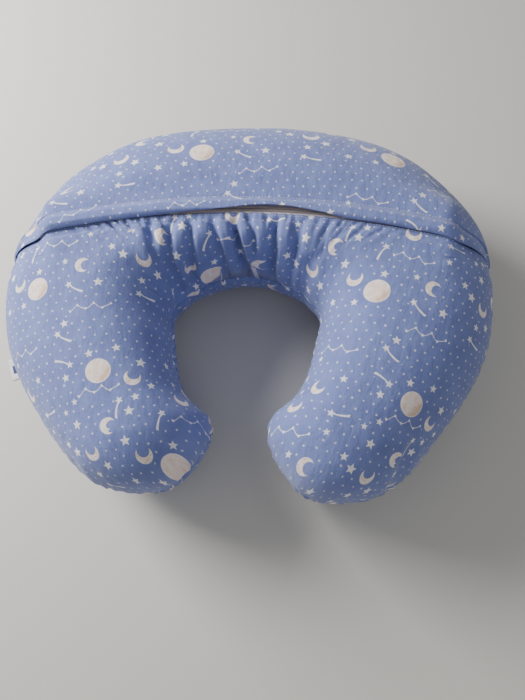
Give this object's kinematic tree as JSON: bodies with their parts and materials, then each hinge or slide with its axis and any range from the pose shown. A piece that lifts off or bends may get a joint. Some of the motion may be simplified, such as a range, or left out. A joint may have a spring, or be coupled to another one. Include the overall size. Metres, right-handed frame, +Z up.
{
  "type": "nursing pillow",
  "caption": "C-shaped fibre-filled nursing pillow in a printed cotton slipcover that closes with a lapped zip across its upper face.",
  "frame": {"origin": "on the resting plane, under the middle of the closed back of the C", "axes": "+X to the right across the pillow's width, +Y towards the closed back of the C, +Z up through its thickness, out of the face with the zip"},
  "size_m": [0.5424, 0.4312, 0.1676],
  "materials": {
    "cover_print": "matt printed woven cotton",
    "casing": "matt plain woven cotton",
    "fibre": "loose polyester fibre",
    "thread": "satin polyester thread",
    "zip_tape": "satin woven polyester tape",
    "zip_coil": "semi-gloss nylon coil",
    "zip_metal": "satin enamelled zinc",
    "label": "satin woven ribbon"
  },
  "bodies": {
    "pillow": {"fibre_filling": "fibre", "inner_casing_top": "casing", "inner_casing_base": "casing", "cover_upper_panel": "cover_print", "cover_lower_panel": "cover_print", "cover_base_panel": "cover_print", "zip_lap": "cover_print", "lap_topstitching": "thread", "zip_tape_upper": "zip_tape", "zip_tape_lower": "zip_tape", "zip_coil_upper": "zip_coil", "zip_coil_lower": "zip_coil", "zip_top_stop_upper": "zip_metal", "zip_top_stop_lower": "zip_metal", "zip_bottom_stop": "zip_metal", "care_label": "label"},
    "slider": {"zip_slider_body": "zip_metal"},
    "pull_tab": {"zip_pull_tab": "zip_metal"},
    "tag": {"side_tag": "label"}
  },
  "joints": [
    {"name": "slider_travel", "type": "hinge", "parent": "pillow", "child": "slider", "pos_m": [0, -0.928, 0.1595], "axis": [0, 0, -1], "range_deg": [0, 22.3]},
    {"name": "pull_tab_pivot", "type": "hinge", "parent": "slider", "child": "pull_tab", "pos_m": [-0.17539, -0.03914, 0.16405], "axis": [0.1936, -0.9811, 0], "range_deg": [0, 165], "deforming": ["zip_lap"]},
    {"name": "tag_flex", "type": "hinge", "parent": "pillow", "child": "tag", "pos_m": [-0.24882, -0.17976, 0.08], "axis": [0.3843, -0.9232, 0], "range_deg": [-70, 70], "stiffness_Nm_per_rad": 0.002}
  ]
}
